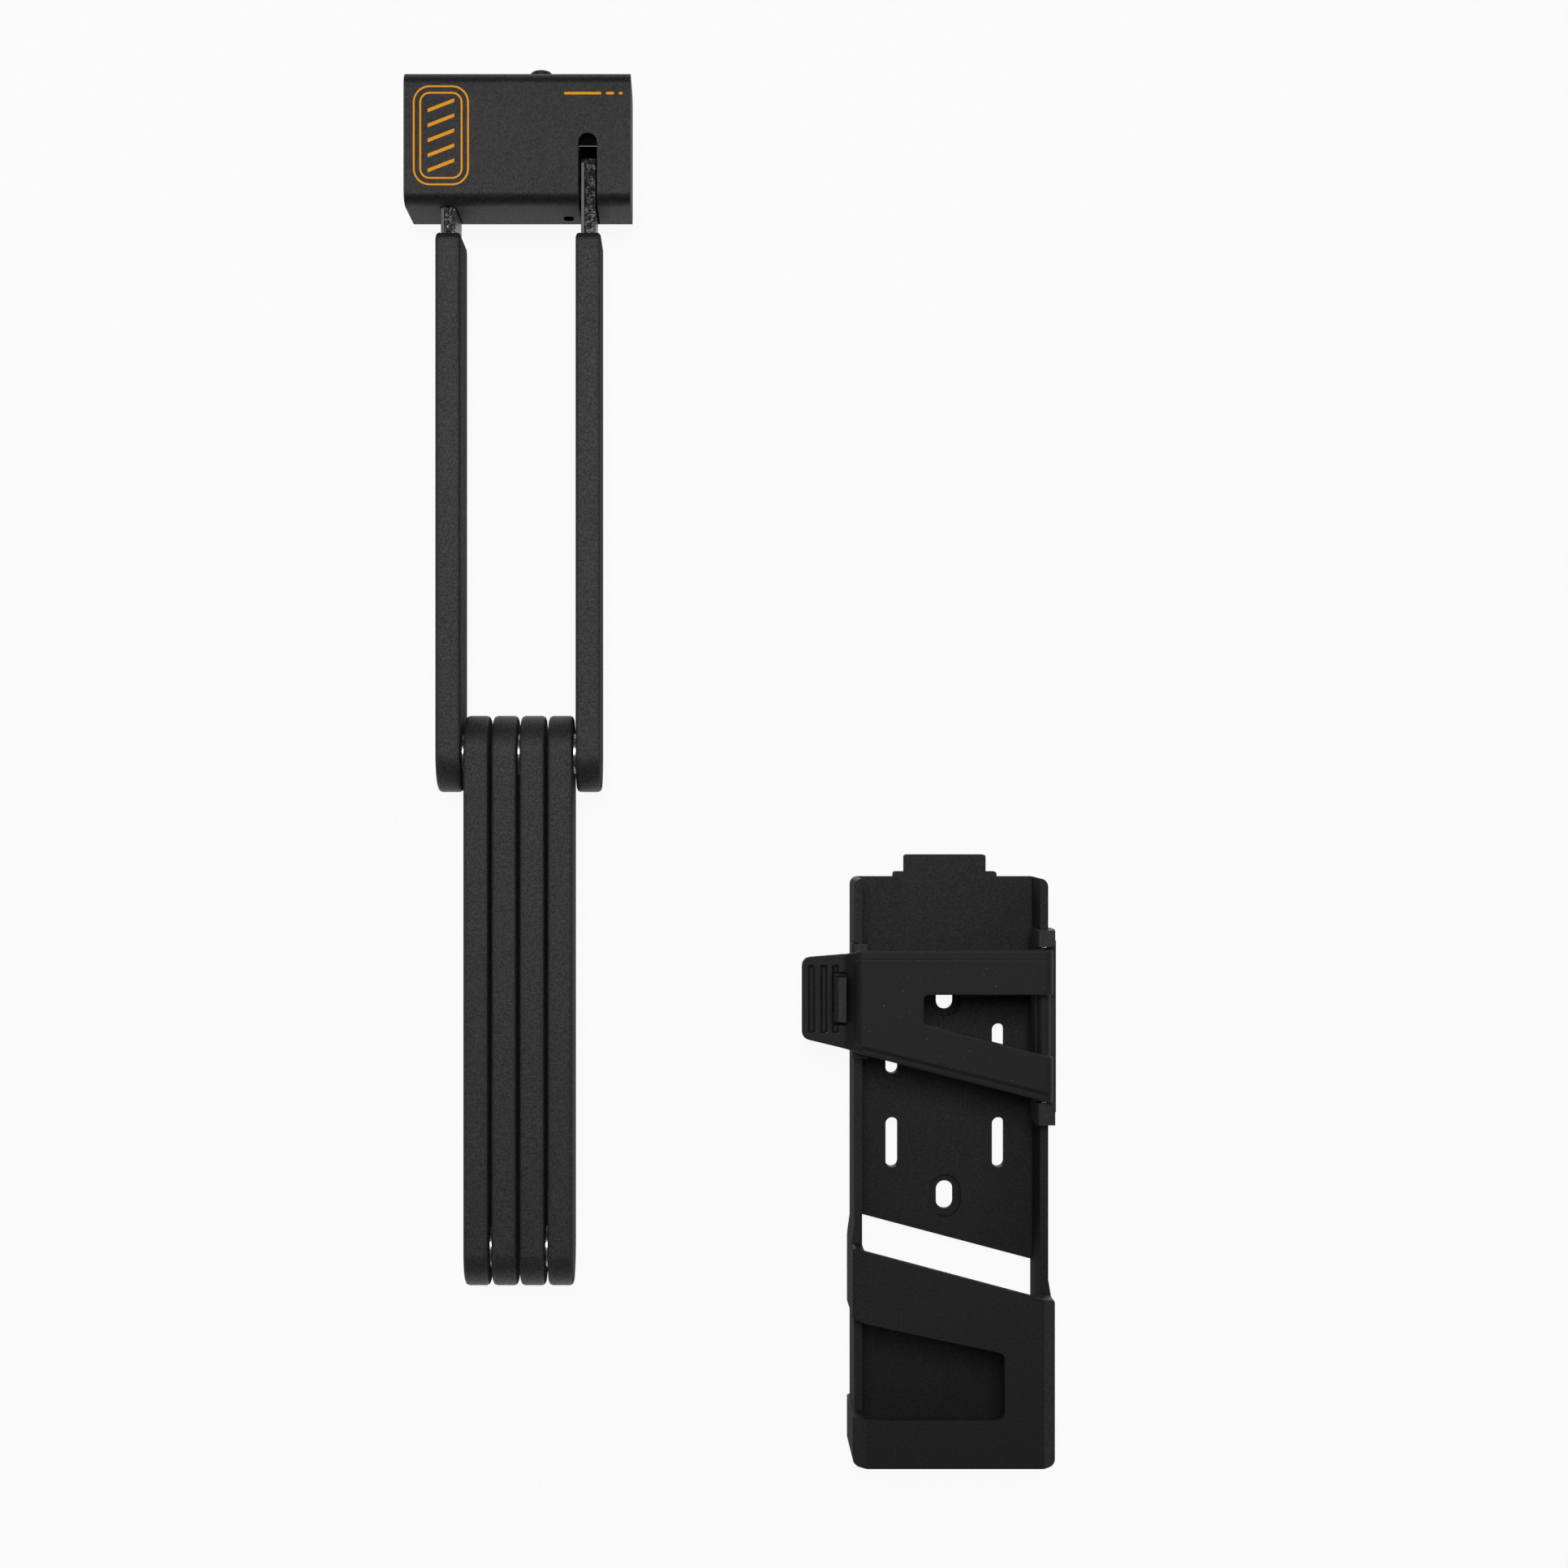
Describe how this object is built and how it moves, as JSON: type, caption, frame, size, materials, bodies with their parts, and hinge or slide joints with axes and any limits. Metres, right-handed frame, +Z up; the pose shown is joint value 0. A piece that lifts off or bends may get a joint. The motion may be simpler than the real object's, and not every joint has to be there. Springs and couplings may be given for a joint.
{
  "type": "folding bike lock",
  "caption": "Folding bicycle lock of riveted, sleeved steel links with a slotted lock housing, and its frame bracket with a rubber strap.",
  "frame": {"origin": "centre of the bounding box on the table, under the lock and the bracket", "axes": "+X from the lock to the bracket, +Y along the links towards the housing, +Z up from the table through the housing's front"},
  "size_m": [0.2024, 0.4346, 0.0327],
  "materials": {
    "anodised": "fine-grained satin near-black",
    "cast_core": "dark cast",
    "sleeve": "fine-grained matte black",
    "coated_steel": "rough black coating over cut steel",
    "bright_steel": "bright turned steel",
    "tray": "moulded black plastic",
    "clip": "hard dark plastic",
    "strap_rubber": "dusty matte rubber"
  },
  "bodies": {
    "housing": {"housing_shell": "anodised", "end_cap_left": "anodised", "end_cap_right": "anodised", "core_block": "cast_core", "cylinder_barrel": "coated_steel", "button_spring": "bright_steel", "keeper_bush": "bright_steel", "anchor_pin": "bright_steel", "link_1_cover": "sleeve", "link_1_bar": "coated_steel", "rivet_1_2": "bright_steel", "spacer_1_2": "bright_steel"},
    "link_2": {"link_2_cover": "sleeve", "link_2_bar": "coated_steel", "rivet_2_3": "bright_steel", "spacer_2_3": "bright_steel"},
    "link_3": {"link_3_cover": "sleeve", "link_3_bar": "coated_steel", "rivet_3_4": "bright_steel", "spacer_3_4": "bright_steel"},
    "link_4": {"link_4_cover": "sleeve", "link_4_bar": "coated_steel", "rivet_4_5": "bright_steel", "spacer_4_5": "bright_steel"},
    "link_5": {"link_5_cover": "sleeve", "link_5_bar": "coated_steel", "rivet_5_6": "bright_steel", "spacer_5_6": "bright_steel"},
    "link_6": {"link_6_cover": "sleeve", "link_6_bar": "coated_steel"},
    "push_button": {"push_button": "anodised"},
    "bolt": {"bolt": "bright_steel"},
    "key_plug": {"key_plug": "bright_steel"},
    "bracket": {"bracket_body": "tray", "hook_clip": "clip", "strap_clip": "clip", "strap_pin": "bright_steel"},
    "strap": {"strap": "strap_rubber"}
  },
  "joints": [
    {"name": "fold_1_2", "type": "hinge", "parent": "housing", "child": "link_2", "pos_m": [-0.0836, 0.00275, 0.015], "axis": [-1, 0, 0], "range_deg": [-180, 0]},
    {"name": "fold_2_3", "type": "hinge", "parent": "link_2", "child": "link_3", "pos_m": [-0.0749, -0.15225, 0.015], "axis": [1, 0, 0], "range_deg": [0, 180]},
    {"name": "fold_3_4", "type": "hinge", "parent": "link_3", "child": "link_4", "pos_m": [-0.0662, 0.00275, 0.015], "axis": [1, 0, 0], "range_deg": [0, 180]},
    {"name": "fold_4_5", "type": "hinge", "parent": "link_4", "child": "link_5", "pos_m": [-0.0575, -0.15225, 0.015], "axis": [1, 0, 0], "range_deg": [0, 180]},
    {"name": "fold_5_6", "type": "hinge", "parent": "link_5", "child": "link_6", "pos_m": [-0.0488, 0.00275, 0.015], "axis": [-1, 0, 0], "range_deg": [-180, 0]},
    {"name": "button_press", "type": "slide", "parent": "housing", "child": "push_button", "axis": [0, -1, 0], "range_m": [0, 0.003], "stiffness_N_per_m": 400, "deforming": ["button_spring"]},
    {"name": "bolt_throw", "type": "slide", "parent": "housing", "child": "bolt", "axis": [1, 0, 0], "range_m": [0, 0.008]},
    {"name": "key_turn", "type": "hinge", "parent": "housing", "child": "key_plug", "pos_m": [-0.0732, 0.20275, 0.015], "axis": [0, 1, 0], "range_deg": [0, 90]},
    {"name": "bracket_aside", "type": "slide", "parent": "housing", "child": "bracket", "axis": [1, 0, 0], "range_m": [0, 0.1]},
    {"name": "strap_swing", "type": "hinge", "parent": "bracket", "child": "strap", "pos_m": [0.0969, -0.08225, 0.0255], "axis": [0, 1, 0], "range_deg": [0, 90]}
  ],
  "couplings": [
    {"joint": "bolt_throw", "follows": "button_press", "ratio": 2.6667}
  ]
}
